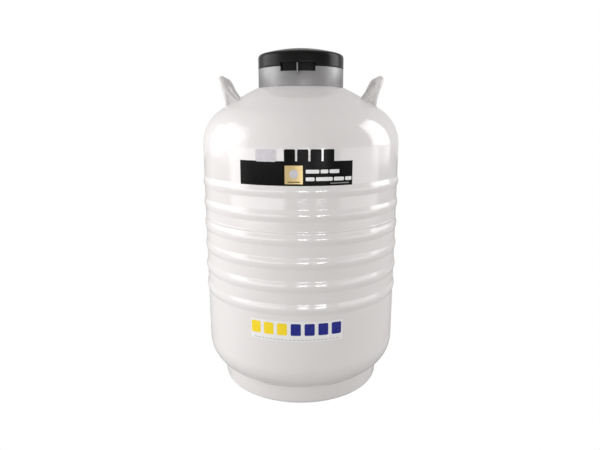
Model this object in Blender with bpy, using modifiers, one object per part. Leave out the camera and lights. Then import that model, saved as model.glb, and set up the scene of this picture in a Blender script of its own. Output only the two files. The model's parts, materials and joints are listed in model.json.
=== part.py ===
"""Liquid nitrogen dewar: a 35-litre storage vessel with a 50 mm neck and six canisters.

Units are metres, +Z is up, and the origin is the centre of the base ring's foot.
The front of the vessel faces -Y, and the two handles stand on the shoulder at -X and +X.
Every profile is a list of (radius, height) points that runs down its outer side.
"""
import math

import bmesh
import bpy
from mathutils import Vector

# ---- driving dimensions ----------------------------------------------------------------
TOUCH_GAP = 0.0003            # space between two pieces that touch

LARGE_SIDES = 32              # flats round the casing, the lid and the inner vessel
SMALL_SIDES = 20              # flats round the neck and smaller turned pieces
CUP_SIDES = 16

SHELL_RADIUS = 0.2235
SHELL_WALL = 0.003
GIRTH_SEAM_Z = 0.396
SHOULDER_BOTTOM_Z = 0.556
SHOULDER_RADIUS = 0.092       # rounding between barrel and shoulder cone
SHOULDER_ARC_DEG = 57.0
CONE_FOOT = (0.1006, 0.6795)  # where the shoulder cone flattens under the collar
THROAT = (0.0345, 0.6970)
LOWER_BEND_Z = 0.102
LOWER_BEND_RADIUS = 0.070
SHELL_BOTTOM_Z = LOWER_BEND_Z - LOWER_BEND_RADIUS

RIB_RISE = 0.0026
RIB_HALF_WIDTH = 0.0120
RIB_PITCH = 0.0486
LOWEST_RIB_Z = 0.2334
RIB_COUNT = 6
RIBS_BELOW_SEAM = 4

SKIRT_RADIUS = 0.1872
SKIRT_WALL = 0.003
SKIRT_TOP_Z = 0.0401
FOOT_INNER_RADIUS = 0.165

COLLAR_RADIUS = 0.0957
COLLAR_WALL = 0.003
COLLAR_BOTTOM_Z = 0.6812
COLLAR_TOP_Z = 0.7209
WINDOW_WIDTH = 0.0736
WINDOW_BOTTOM_Z = 0.7110
WINDOW_TOP_Z = 0.7285
WINDOW_TURN = math.radians(-4.05) # the window's middle, turned from the front towards -X

LID_TOP_Z = 0.765
LID_DOME_RADIUS = 0.318
LID_SIDE_TOP_Z = 0.744
LID_WALL = 0.003
LINER_RADIUS = 0.0915
LINER_WALL = 0.0025
LINER_BOTTOM_Z = 0.7085
LINER_CROWN = [(0.0, 0.7600), (0.0450, 0.7570), (0.0830, 0.7480), (LINER_RADIUS, 0.7400)]
PLUG_PLATE_RADIUS = 0.024
PLUG_PLATE_Z = (0.7522, 0.7552)

NECK_BORE = 0.025
NECK_WALL = 0.002
NECK_TOP_Z = 0.7036
NECK_BOTTOM_Z = 0.470
INDEX_PLATE_Z = 0.7040        # underside of the index plate
INDEX_PLATE_THICKNESS = 0.003
PLUG_RADIUS = 0.0193
PLUG_BOTTOM_Z = 0.500

INNER_RADIUS = 0.182
INNER_WALL = 0.0025
INNER_BOTTOM_Z = 0.066
INNER_SEAM_Z = 0.273
BLANKET_THICKNESS = 0.014

CANISTER_COUNT = 6
CANISTER_FIRST_DEG = 30.0
CANISTER_RADIUS = 0.019
CANISTER_LENGTH = 0.120
CANISTER_WALL = 0.001
CANISTER_TILT = math.radians(15.0)
CANISTER_FOOT = (0.118, 0.0850)   # centre of a canister's bottom: distance from the axis, height
ROD_RADIUS = 0.0015
ROD_NECK_RADIUS = 0.0215
ROD_OVERLAP = 0.020               # how far a rod runs down beside its canister
ROD_BEND_RADIUS = 0.006
KNOB_RADIUS = 0.004
KNOB_LENGTH = 0.012
KNOB_START = 0.0705

HANDLE_TILT = math.radians(24.0)  # lean away from the vessel's axis
HANDLE_TOP = (0.1724, 0.6968)     # middle of the grip: X, Z
HANDLE_HALF_SPAN = 0.064
HANDLE_CORNER_RADIUS = 0.020
HANDLE_HEIGHT = 0.0550            # middle of the grip to the feet, along the lean
HANDLE_TUBE = 0.0150              # diameter of the tube, before its ends are flattened
FOOT_WIDTH = 0.0320
FOOT_THICKNESS = 0.0080
FOOT_FLARE = 1.6                  # how late the tube widens towards its feet
HANDLE_SIDES = 12

LOCK_TURN = math.radians(-3.0)    # the padlock staple and ear, turned like the window
LOCK_EYE_RADIUS = 0.0016
LOCK_EYE_Z = 0.7225
LOCK_EYE_REACH = 0.0036           # from the collar to the eye's centre
LUG_THICKNESS = 0.0026
LUG_REACH = 0.0070
LUG_Z = (0.7045, 0.7272)
EAR_THICKNESS = 0.0030
EAR_REACH = 0.0112
EAR_Z = (0.7128, 0.7262)
LOCK_GAP = 0.0010                 # between the lug and the ear, across the padlock's path

PRINT_RADIUS = SHELL_RADIUS + 0.0004
PRINT_THICKNESS = 0.0004
BAND_HALF_ANGLE = math.radians(29.45)
BAND_TURN = math.radians(-2.85)
BAND_Z = (0.4878, 0.5350)
STRIP_HALF_ANGLE = math.radians(25.3)
STRIP_TURN = math.radians(-2.5)
STRIP_Z = (0.1650, 0.2090)

FRONT = math.radians(-90.0)


# ---- scene, collections and materials --------------------------------------------------
def clear_scene():
    for item in list(bpy.data.objects):
        bpy.data.objects.remove(item, do_unlink=True)


def new_collection(name):
    collection = bpy.data.collections.new(name)
    bpy.context.scene.collection.children.link(collection)
    return collection


def principled(name, color, roughness, metallic=0.0):
    made = bpy.data.materials.new(name)
    made.use_nodes = True
    shader = made.node_tree.nodes["Principled BSDF"]
    shader.inputs["Base Color"].default_value = (*color, 1.0)
    shader.inputs["Roughness"].default_value = roughness
    shader.inputs["Metallic"].default_value = metallic
    made.diffuse_color = (*color, 1.0)
    return made


clear_scene()
PARTS = new_collection("liquid_nitrogen_dewar")
CUTTERS = new_collection("cutters")

WHITE_COAT = principled("white_coat", (0.80, 0.79, 0.78), 0.28)
SATIN_SILVER = principled("satin_silver", (0.55, 0.56, 0.57), 0.35, 1.0)
BLACK_PLASTIC = principled("black_plastic", (0.02, 0.02, 0.022), 0.38)
BARE_ALUMINIUM = principled("bare_aluminium", (0.72, 0.73, 0.74), 0.42, 1.0)
STAINLESS = principled("stainless", (0.60, 0.60, 0.59), 0.25, 1.0)
NECK_LAMINATE = principled("neck_laminate", (0.52, 0.60, 0.36), 0.45)
PLUG_FOAM = principled("plug_foam", (0.85, 0.82, 0.70), 0.90)
FOIL_BLANKET = principled("foil_blanket", (0.78, 0.79, 0.80), 0.30, 1.0)
ADSORBENT = principled("adsorbent", (0.12, 0.12, 0.12), 0.95)
COPPER = principled("copper", (0.72, 0.42, 0.28), 0.35, 1.0)
RED_PLASTIC = principled("red_plastic", (0.60, 0.06, 0.05), 0.45)
BLUE_PLASTIC = principled("blue_plastic", (0.06, 0.16, 0.50), 0.45)
BLACK_FILM = principled("black_film", (0.012, 0.012, 0.014), 0.35)
WHITE_FILM = principled("white_film", (0.86, 0.86, 0.85), 0.40)


# ---- modelling helpers -----------------------------------------------------------------
def add_mesh_object(name, mesh, material, collection=None):
    made = bpy.data.objects.new(name, mesh)
    (collection or PARTS).objects.link(made)
    if material:
        mesh.materials.append(material)
    return made


def smooth(mesh, angle_deg=35.0):
    mesh.shade_smooth()
    mesh.set_sharp_from_angle(angle=math.radians(angle_deg))


def turned(name, profile, material, sides, closed=True, wall=0.0, grow=-1.0,
           sweep=2.0 * math.pi, collection=None):
    """Revolve a profile about Z; an open profile becomes a shell when it is given a wall."""
    mesh = bpy.data.meshes.new(name)
    points = [(radius, 0.0, height) for radius, height in profile]
    edges = [(index, index + 1) for index in range(len(points) - 1)]
    if closed and profile[0][0] > 0.0:
        edges.append((len(points) - 1, 0))
    mesh.from_pydata(points, edges, [])
    made = add_mesh_object(name, mesh, material, collection)
    screw = made.modifiers.new("turn", "SCREW")
    screw.axis = "Z"
    screw.angle = sweep
    screw.steps = sides
    screw.render_steps = sides
    screw.use_merge_vertices = True
    screw.merge_threshold = 0.00001
    screw.use_smooth_shade = True
    if wall > 0.0:
        shell = made.modifiers.new("wall", "SOLIDIFY")
        shell.thickness = wall
        shell.offset = grow
        shell.use_even_offset = True
    return made


def ring_profile(inner, outer, low, high):
    return [(outer, high), (outer, low), (inner, low), (inner, high)]


def rod_profile(radius, low, high):
    return [(0.0, high), (radius, high), (radius, low), (0.0, low)]


def box_object(name, low, high, material, collection=None):
    """An upright box between two corners."""
    mesh = bpy.data.meshes.new(name)
    form = bmesh.new()
    bmesh.ops.create_cube(form, size=1.0)
    size = [top - bottom for bottom, top in zip(low, high)]
    middle = [(top + bottom) / 2.0 for bottom, top in zip(low, high)]
    bmesh.ops.scale(form, vec=size, verts=form.verts)
    bmesh.ops.translate(form, vec=middle, verts=form.verts)
    form.to_mesh(mesh)
    form.free()
    return add_mesh_object(name, mesh, material, collection)


def cut(target, cutter):
    cutter.display_type = "WIRE"
    cutter.hide_render = True
    boolean = target.modifiers.new("cut_" + cutter.name, "BOOLEAN")
    boolean.operation = "DIFFERENCE"
    boolean.solver = "EXACT"
    boolean.object = cutter


def arc(centre, radius, start_deg, end_deg, steps):
    """Points on a circle in the (radius, height) plane, 90 degrees being straight up."""
    points = []
    for index in range(steps + 1):
        angle = math.radians(start_deg + (end_deg - start_deg) * index / steps)
        points.append((centre[0] + radius * math.cos(angle), centre[1] + radius * math.sin(angle)))
    return points


def offset_outward(profile, distance):
    """A profile moved away from its surface by a distance, mitred at its corners."""
    moved = []
    last = len(profile) - 1
    for index, point in enumerate(profile):
        before = Vector(profile[max(index - 1, 0)])
        after = Vector(profile[min(index + 1, last)])
        here = Vector(point)
        normals = []
        for start, end in ((before, here), (here, after)):
            run = end - start
            if run.length > 0.0:
                normals.append(Vector((-run.y, run.x)).normalized())
        mean = sum(normals, Vector((0.0, 0.0))).normalized()
        reach = distance / mean.dot(normals[0])
        moved.append((here.x + mean.x * reach, here.y + mean.y * reach))
    return moved


# ---- outer casing ----------------------------------------------------------------------
def rib_height(index):
    return LOWEST_RIB_Z + RIB_PITCH * index


def rib_points(indices):
    """Crease, crest and crease of each rib, from the highest to the lowest."""
    points = []
    for index in sorted(indices, reverse=True):
        middle = rib_height(index)
        points.append((SHELL_RADIUS, middle + RIB_HALF_WIDTH))
        points.append((SHELL_RADIUS + RIB_RISE, middle))
        points.append((SHELL_RADIUS, middle - RIB_HALF_WIDTH))
    return points


def shoulder_points():
    centre = (SHELL_RADIUS - SHOULDER_RADIUS, SHOULDER_BOTTOM_Z)
    return [THROAT, CONE_FOOT] + arc(centre, SHOULDER_RADIUS, SHOULDER_ARC_DEG, 0.0, 4)


def shoulder_height(radius):
    """Height of the shoulder's surface at a distance from the axis."""
    points = shoulder_points()
    for (inner, high), (outer, low) in zip(points, points[1:]):
        if radius <= outer:
            return high + (low - high) * (radius - inner) / (outer - inner)
    return SHOULDER_BOTTOM_Z


def outer_shell_upper():
    profile = shoulder_points()
    profile += rib_points(range(RIBS_BELOW_SEAM, RIB_COUNT))
    profile.append((SHELL_RADIUS, GIRTH_SEAM_Z + TOUCH_GAP / 2.0))
    return turned("outer_shell_upper", profile, WHITE_COAT, LARGE_SIDES, closed=False,
                  wall=SHELL_WALL)


def outer_shell_lower():
    centre = (SHELL_RADIUS - LOWER_BEND_RADIUS, LOWER_BEND_Z)
    profile = [(SHELL_RADIUS, GIRTH_SEAM_Z - TOUCH_GAP / 2.0)]
    profile += rib_points(range(RIBS_BELOW_SEAM))
    profile += arc(centre, LOWER_BEND_RADIUS, 0.0, -90.0, 4)
    profile.append((PORT_HOLE_RADIUS, SHELL_BOTTOM_Z))
    return turned("outer_shell_lower", profile, WHITE_COAT, LARGE_SIDES, closed=False,
                  wall=SHELL_WALL)


def base_ring():
    rolled = 0.008
    inner = SKIRT_RADIUS - SKIRT_WALL
    profile = [
        (SKIRT_RADIUS, SKIRT_TOP_Z),
        (SKIRT_RADIUS, rolled),
        (SKIRT_RADIUS - rolled * 0.3, rolled * 0.3),
        (SKIRT_RADIUS - rolled, 0.0),
        (FOOT_INNER_RADIUS, 0.0),
        (FOOT_INNER_RADIUS, SKIRT_WALL),
        (inner - rolled * 0.75, SKIRT_WALL),
        (inner, rolled),
        (inner, SKIRT_TOP_Z - 0.0016),
    ]
    return turned("base_ring", profile, WHITE_COAT, LARGE_SIDES)


# ---- vacuum port -----------------------------------------------------------------------
PORT_HOLE_RADIUS = 0.0125
PORT_RADIUS = 0.0118
PORT_BORE = 0.008
PORT_LOW_Z = 0.013


def vacuum_port():
    top = SHELL_BOTTOM_Z + 0.012
    flange_top = SHELL_BOTTOM_Z - TOUCH_GAP
    profile = [
        (PORT_RADIUS, top),
        (PORT_RADIUS, flange_top),
        (0.020, flange_top),
        (0.020, flange_top - 0.003),
        (PORT_RADIUS, flange_top - 0.003),
        (PORT_RADIUS, PORT_LOW_Z),
        (PORT_BORE, PORT_LOW_Z),
        (PORT_BORE, top),
    ]
    return turned("vacuum_port", profile, BARE_ALUMINIUM, SMALL_SIDES)


def vacuum_plug():
    profile = [
        (0.0, PORT_LOW_Z + 0.016),
        (PORT_BORE - TOUCH_GAP, PORT_LOW_Z + 0.016),
        (PORT_BORE - TOUCH_GAP, PORT_LOW_Z - TOUCH_GAP),
        (PORT_RADIUS - 0.0005, PORT_LOW_Z - TOUCH_GAP),
        (PORT_RADIUS - 0.0005, PORT_LOW_Z - 0.004),
        (0.0, PORT_LOW_Z - 0.004),
    ]
    return turned("vacuum_plug", profile, STAINLESS, SMALL_SIDES)


def vacuum_cap():
    inner = PORT_RADIUS + TOUCH_GAP
    floor = PORT_LOW_Z - 0.0045
    profile = [
        (inner + 0.002, PORT_LOW_Z + 0.010),
        (inner + 0.002, floor - 0.002),
        (0.0, floor - 0.002),
        (0.0, floor),
        (inner, floor),
        (inner, PORT_LOW_Z + 0.010),
    ]
    return turned("vacuum_cap", profile, RED_PLASTIC, SMALL_SIDES)


# ---- handles ---------------------------------------------------------------------------
def handle_path():
    """(Y, depth below the grip, share of the leg's length) from one foot to the other."""
    half_side = []
    corner = HANDLE_CORNER_RADIUS
    leg_rows = 5
    for row in range(leg_rows):
        share = 1.0 - row / leg_rows
        half_side.append((HANDLE_HALF_SPAN, corner + (HANDLE_HEIGHT - corner) * share, share))
    for step in range(5):
        angle = math.radians(90.0 * step / 4)
        across = HANDLE_HALF_SPAN - corner + corner * math.cos(angle)
        half_side.append((across, corner - corner * math.sin(angle), 0.0))
    return half_side + [(-across, depth, share) for across, depth, share in reversed(half_side)]


def handle_section(share):
    """The tube's section, flatter and wider as its share of the leg grows."""
    flare = share ** FOOT_FLARE
    half_width = (HANDLE_TUBE + (FOOT_WIDTH - HANDLE_TUBE) * flare) / 2.0
    half_thickness = (HANDLE_TUBE + (FOOT_THICKNESS - HANDLE_TUBE) * flare) / 2.0
    section = []
    for step in range(HANDLE_SIDES):
        turn = 2.0 * math.pi * (step + 0.5) / HANDLE_SIDES
        section.append((half_width * math.cos(turn), half_thickness * math.sin(turn)))
    return section


def shoulder_reach(start, down):
    """How far down a leg's direction a point comes to stand just clear of the shoulder."""
    near = HANDLE_HEIGHT * 0.5
    far = HANDLE_HEIGHT * 1.5
    for _ in range(30):
        middle = (near + far) / 2.0
        place = start + down * middle
        if place.z > shoulder_height(place.xy.length) + TOUCH_GAP:
            near = middle
        else:
            far = middle
    return near


def handle(name, side):
    """A round bar bent into an arch with flattened, flared feet; side is -1 or +1."""
    path = handle_path()
    down = Vector((-math.sin(HANDLE_TILT), 0.0, -math.cos(HANDLE_TILT)))
    outward = Vector((math.cos(HANDLE_TILT), 0.0, -math.sin(HANDLE_TILT)))
    top = Vector((HANDLE_TOP[0], 0.0, HANDLE_TOP[1]))
    along_y = Vector((0.0, 1.0, 0.0))
    foot = handle_section(1.0)
    form = bmesh.new()
    rings = []
    last = len(path) - 1
    for index, (across, depth, share) in enumerate(path):
        before = path[max(index - 1, 0)]
        after = path[min(index + 1, last)]
        run = Vector((after[0] - before[0], after[1] - before[1])).normalized()
        face = along_y * run.y - down * run.x
        middle = top + along_y * across + down * depth
        ring = []
        for (u, v), (foot_u, foot_v) in zip(handle_section(share), foot):
            corner = middle + outward * u + face * v
            if share > 0.0:
                start = top + along_y * (across + face.y * foot_v) + outward * foot_u
                corner += down * (share * (shoulder_reach(start, down) - HANDLE_HEIGHT))
            ring.append(form.verts.new((corner.x * side, corner.y, corner.z)))
        rings.append(ring)
    for lower, upper in zip(rings, rings[1:]):
        for index in range(HANDLE_SIDES):
            after = (index + 1) % HANDLE_SIDES
            form.faces.new((lower[index], lower[after], upper[after], upper[index]))
    form.faces.new(rings[0])
    form.faces.new(rings[-1])
    bmesh.ops.recalc_face_normals(form, faces=form.faces)
    mesh = bpy.data.meshes.new(name)
    form.to_mesh(mesh)
    form.free()
    smooth(mesh, 40.0)
    return add_mesh_object(name, mesh, WHITE_COAT)


# ---- neck and collar -------------------------------------------------------------------
def window_cutter(name):
    half = WINDOW_WIDTH / 2.0
    near = -COLLAR_RADIUS * 0.6
    far = -COLLAR_RADIUS * 1.3
    made = box_object(name, (-half, far, WINDOW_BOTTOM_Z), (half, near, WINDOW_TOP_Z),
                      None, CUTTERS)
    made.rotation_euler = (0.0, 0.0, WINDOW_TURN)
    return made


def lock_eye_cutter(name):
    """A pin across the padlock staple and ear, at the turn they share."""
    made = turned(name, rod_profile(LOCK_EYE_RADIUS, -0.01, 0.01), None, 12, collection=CUTTERS)
    reach = COLLAR_RADIUS + TOUCH_GAP + LOCK_EYE_REACH
    made.rotation_euler = (0.0, math.radians(90.0), LOCK_TURN)
    made.location = (reach * math.sin(LOCK_TURN), -reach * math.cos(LOCK_TURN), LOCK_EYE_Z)
    return made


def neck_collar():
    inner = COLLAR_RADIUS - COLLAR_WALL
    profile = [
        (COLLAR_RADIUS, COLLAR_TOP_Z),
        (COLLAR_RADIUS, COLLAR_BOTTOM_Z),
        (inner, COLLAR_BOTTOM_Z + 0.0009),
        (inner, COLLAR_TOP_Z),
    ]
    made = turned("neck_collar", profile, SATIN_SILVER, LARGE_SIDES)
    cut(made, window_cutter("window_in_collar"))
    return made


def neck_tube():
    profile = ring_profile(NECK_BORE, NECK_BORE + NECK_WALL, NECK_BOTTOM_Z, NECK_TOP_Z)
    return turned("neck_tube", profile, NECK_LAMINATE, SMALL_SIDES)


def neck_flange_upper():
    inner = NECK_BORE + NECK_WALL + TOUCH_GAP
    profile = ring_profile(inner, THROAT[0] - 0.0012, THROAT[1] - 0.006, NECK_TOP_Z)
    return turned("neck_flange_upper", profile, BARE_ALUMINIUM, SMALL_SIDES)


def neck_flange_lower():
    inner = NECK_BORE + NECK_WALL + TOUCH_GAP
    profile = ring_profile(inner, INNER_THROAT[0] - 0.0010, NECK_BOTTOM_Z, INNER_THROAT[1] + 0.003)
    return turned("neck_flange_lower", profile, BARE_ALUMINIUM, SMALL_SIDES)


def index_plate():
    """Cover plate round the neck, with a slotted rim that keeps the canister rods apart."""
    plate_top = INDEX_PLATE_Z + INDEX_PLATE_THICKNESS
    rim_top = plate_top + 0.006
    rim_inner = 0.050
    rim_outer = 0.053
    profile = [
        (rim_outer, rim_top),
        (rim_outer, plate_top),
        (0.0910, plate_top),
        (0.0910, INDEX_PLATE_Z),
        (0.0280, INDEX_PLATE_Z),
        (0.0280, plate_top),
        (rim_inner, plate_top),
        (rim_inner, rim_top),
    ]
    made = turned("index_plate", profile, BARE_ALUMINIUM, LARGE_SIDES)
    slot_half = 0.0028
    for number in range(CANISTER_COUNT):
        cutter = box_object("rod_slot_%d" % (number + 1),
                            (0.045, -slot_half, plate_top + 0.0001),
                            (0.058, slot_half, rim_top + 0.002), None, CUTTERS)
        cutter.rotation_euler = (0.0, 0.0, canister_angle(number))
        cut(made, cutter)
    return made


def lock_lug():
    """Upright staple on the collar's front that a padlock passes through."""
    back = -(COLLAR_RADIUS + TOUCH_GAP)
    right = -LOCK_GAP
    made = box_object("lock_lug", (right - LUG_THICKNESS, back - LUG_REACH, LUG_Z[0]),
                      (right, back, LUG_Z[1]), STAINLESS)
    made.rotation_euler = (0.0, 0.0, LOCK_TURN)
    cut(made, lock_eye_cutter("lug_eye"))
    return made


# ---- inner vessel and insulation -------------------------------------------------------
INNER_THROAT = (0.0310, 0.4790)
INNER_SHOULDER_Z = 0.395
INNER_BEND_RADIUS = 0.058


def inner_upper_profile():
    centre = (INNER_RADIUS - INNER_BEND_RADIUS, INNER_SHOULDER_Z)
    return [INNER_THROAT] + arc(centre, INNER_BEND_RADIUS, 76.0, 0.0, 3)


def inner_lower_profile():
    bend = 0.052
    centre = (INNER_RADIUS - bend, INNER_BOTTOM_Z + bend)
    return arc(centre, bend, 0.0, -90.0, 3)


def inner_vessel_upper():
    profile = inner_upper_profile() + [(INNER_RADIUS, INNER_SEAM_Z + TOUCH_GAP / 2.0)]
    return turned("inner_vessel_upper", profile, BARE_ALUMINIUM, LARGE_SIDES, closed=False,
                  wall=INNER_WALL)


def inner_vessel_lower():
    profile = [(INNER_RADIUS, INNER_SEAM_Z - TOUCH_GAP / 2.0)] + inner_lower_profile()
    profile.append((0.0, INNER_BOTTOM_Z))
    return turned("inner_vessel_lower", profile, BARE_ALUMINIUM, LARGE_SIDES, closed=False,
                  wall=INNER_WALL)


def insulation_blanket():
    """Foil and paper wrap round the inner vessel, open round the neck and the bottom support."""
    hole = 0.050
    profile = inner_upper_profile()[1:] + inner_lower_profile() + [(hole, INNER_BOTTOM_Z)]
    start = (hole, INNER_THROAT[1] - 0.0045)
    profile = offset_outward([start] + profile, 0.0006)
    return turned("insulation_blanket", profile, FOIL_BLANKET, LARGE_SIDES, closed=False,
                  wall=BLANKET_THICKNESS, grow=1.0)


def support_ring():
    low = SHELL_BOTTOM_Z + SHELL_WALL + TOUCH_GAP
    profile = ring_profile(0.0395, 0.0435, low, INNER_BOTTOM_Z - TOUCH_GAP)
    return turned("support_ring", profile, NECK_LAMINATE, SMALL_SIDES)


def adsorbent_pan():
    top = INNER_BOTTOM_Z - TOUCH_GAP
    return turned("adsorbent_pan", rod_profile(0.034, top - 0.010, top), ADSORBENT, SMALL_SIDES)


def getter_capsule():
    low = SHELL_BOTTOM_Z + SHELL_WALL + TOUCH_GAP
    made = turned("getter_capsule", rod_profile(0.005, low, low + 0.014), COPPER, 12)
    made.location = (0.025, 0.0, 0.0)
    return made


def canister_base():
    """Scalloped hub on the vessel's floor that the canisters' feet nest against."""
    rim = 0.112
    nest = CANISTER_RADIUS + 0.0045
    reach = CANISTER_FOOT[0]
    thickness = 0.010
    outline = []
    half_gap = math.acos((reach ** 2 + rim ** 2 - nest ** 2) / (2.0 * reach * rim))
    mouth = math.atan2(rim * math.sin(half_gap), rim * math.cos(half_gap) - reach)
    for number in range(CANISTER_COUNT):
        middle = canister_angle(number)
        centre = Vector((reach * math.cos(middle), reach * math.sin(middle)))
        for step in range(7):
            turn = middle - mouth - 2.0 * (math.pi - mouth) * step / 6
            outline.append(centre + nest * Vector((math.cos(turn), math.sin(turn))))
        gap = math.radians(360.0 / CANISTER_COUNT) - 2.0 * half_gap
        for step in range(1, 3):
            turn = middle + half_gap + gap * step / 3
            outline.append(rim * Vector((math.cos(turn), math.sin(turn))))
    curve = bpy.data.curves.new("canister_base", "CURVE")
    curve.dimensions = "2D"
    curve.fill_mode = "BOTH"
    curve.extrude = thickness / 2.0
    spline = curve.splines.new("POLY")
    spline.points.add(len(outline) - 1)
    for point, place in zip(spline.points, outline):
        point.co = (place.x, place.y, 0.0, 1.0)
    spline.use_cyclic_u = True
    made = bpy.data.objects.new("canister_base", curve)
    made.location = (0.0, 0.0, INNER_BOTTOM_Z + INNER_WALL + TOUCH_GAP + thickness / 2.0)
    curve.materials.append(BARE_ALUMINIUM)
    PARTS.objects.link(made)
    return made


# ---- canisters -------------------------------------------------------------------------
def canister_angle(number):
    return math.radians(CANISTER_FIRST_DEG + 360.0 / CANISTER_COUNT * number)


def canister_profile():
    inner = CANISTER_RADIUS - CANISTER_WALL
    return [
        (CANISTER_RADIUS, CANISTER_LENGTH),
        (CANISTER_RADIUS, 0.0),
        (0.0, 0.0),
        (0.0, CANISTER_WALL),
        (inner, CANISTER_WALL),
        (inner, CANISTER_LENGTH),
    ]


def rounded_route(corners, radius, steps):
    """A route through corner points, each inner corner replaced by an arc."""
    route = [Vector(corners[0])]
    for before, here, after in zip(corners, corners[1:], corners[2:]):
        corner = Vector(here)
        back = (Vector(before) - corner).normalized()
        ahead = (Vector(after) - corner).normalized()
        half = back.angle(ahead) / 2.0
        setback = radius / math.tan(half)
        centre = corner + (back + ahead).normalized() * (radius / math.sin(half))
        first = corner + back * setback - centre
        last = corner + ahead * setback - centre
        for step in range(steps + 1):
            route.append(centre + radius * first.slerp(last, step / steps))
    route.append(Vector(corners[-1]))
    return route


def rod_route():
    """The rod in its own radial plane: beside the canister, up the neck and over the plate."""
    lean = Vector((-math.sin(CANISTER_TILT), 0.0, math.cos(CANISTER_TILT)))
    across = Vector((math.cos(CANISTER_TILT), 0.0, math.sin(CANISTER_TILT)))
    foot = Vector((CANISTER_FOOT[0], 0.0, CANISTER_FOOT[1]))
    clear = CANISTER_RADIUS + ROD_RADIUS + TOUCH_GAP
    start = foot + lean * (CANISTER_LENGTH - ROD_OVERLAP) - across * clear
    climb = (start.x - ROD_NECK_RADIUS) / math.tan(CANISTER_TILT)
    top = INDEX_PLATE_Z + INDEX_PLATE_THICKNESS + ROD_RADIUS + TOUCH_GAP
    corners = [
        start,
        (ROD_NECK_RADIUS, 0.0, start.z + climb),
        (ROD_NECK_RADIUS, 0.0, top),
        (KNOB_START - TOUCH_GAP, 0.0, top),
    ]
    return rounded_route(corners, ROD_BEND_RADIUS, 3), top


def canister(number):
    """One canister with its rod and knob, hung on an empty that lifts it straight up."""
    name = "canister_%d" % (number + 1)
    angle = canister_angle(number)
    hanger = bpy.data.objects.new(name + "_lift", None)
    PARTS.objects.link(hanger)
    hanger.rotation_euler = (0.0, 0.0, angle)

    cup = turned(name + "_cup", canister_profile(), STAINLESS, CUP_SIDES)
    cup.parent = hanger
    cup.location = (CANISTER_FOOT[0], 0.0, CANISTER_FOOT[1])
    cup.rotation_euler = (0.0, -CANISTER_TILT, 0.0)

    route, top = rod_route()
    curve = bpy.data.curves.new(name + "_rod", "CURVE")
    curve.dimensions = "3D"
    curve.bevel_depth = ROD_RADIUS
    curve.bevel_resolution = 1
    curve.use_fill_caps = True
    spline = curve.splines.new("POLY")
    spline.points.add(len(route) - 1)
    for point, place in zip(spline.points, route):
        point.co = (*place, 1.0)
    curve.materials.append(STAINLESS)
    rod = bpy.data.objects.new(name + "_rod", curve)
    PARTS.objects.link(rod)
    rod.parent = hanger

    knob = turned(name + "_knob", rod_profile(KNOB_RADIUS, 0.0, KNOB_LENGTH), BLUE_PLASTIC, 12)
    knob.parent = hanger
    knob.location = (KNOB_START, 0.0, top + KNOB_RADIUS - ROD_RADIUS)
    knob.rotation_euler = (0.0, math.radians(90.0), 0.0)


# ---- lid -------------------------------------------------------------------------------
def dome_height(radius):
    """Height of the lid's top surface at a distance from the axis."""
    drop = LID_DOME_RADIUS - math.sqrt(LID_DOME_RADIUS ** 2 - radius ** 2)
    return LID_TOP_Z - drop


def lid_cover():
    profile = [(radius, dome_height(radius)) for radius in (0.0, 0.035, 0.065, 0.088)]
    profile += [(0.0936, 0.7495), (COLLAR_RADIUS, LID_SIDE_TOP_Z)]
    profile.append((COLLAR_RADIUS, COLLAR_TOP_Z + TOUCH_GAP))
    made = turned("lid_cover", profile, BLACK_PLASTIC, LARGE_SIDES, closed=False, wall=LID_WALL)
    cut(made, window_cutter("window_in_lid"))
    return made


def lid_liner():
    profile = LINER_CROWN + [(LINER_RADIUS, LINER_BOTTOM_Z)]
    return turned("lid_liner", profile, BLACK_PLASTIC, LARGE_SIDES, closed=False,
                  wall=LINER_WALL)


def plug_plate():
    profile = rod_profile(PLUG_PLATE_RADIUS, *PLUG_PLATE_Z)
    return turned("plug_plate", profile, BARE_ALUMINIUM, SMALL_SIDES)


def neck_plug():
    top = PLUG_PLATE_Z[0] - TOUCH_GAP
    chamfer = 0.002
    profile = [
        (0.0, top),
        (PLUG_RADIUS, top),
        (PLUG_RADIUS, PLUG_BOTTOM_Z + chamfer),
        (PLUG_RADIUS - chamfer, PLUG_BOTTOM_Z),
        (0.0, PLUG_BOTTOM_Z),
    ]
    return turned("neck_plug", profile, PLUG_FOAM, SMALL_SIDES)


def lid_ear():
    """Ear on the lid that lies beside the collar's staple, so one padlock holds both."""
    back = -(LINER_RADIUS + TOUCH_GAP)
    made = box_object("lid_ear", (0.0, back - EAR_REACH, EAR_Z[0]),
                      (EAR_THICKNESS, back, EAR_Z[1]), BLACK_PLASTIC)
    made.rotation_euler = (0.0, 0.0, LOCK_TURN)
    cut(made, lock_eye_cutter("ear_eye"))
    return made


# ---- printed films on the barrel -------------------------------------------------------
def film(name, half_angle, turn, heights, material, sides):
    low, high = heights
    made = turned(name, [(PRINT_RADIUS, high), (PRINT_RADIUS, low)], material, sides,
                  closed=False, wall=PRINT_THICKNESS, grow=1.0, sweep=2.0 * half_angle)
    made.rotation_euler = (0.0, 0.0, FRONT + turn - half_angle)
    return made


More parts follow.
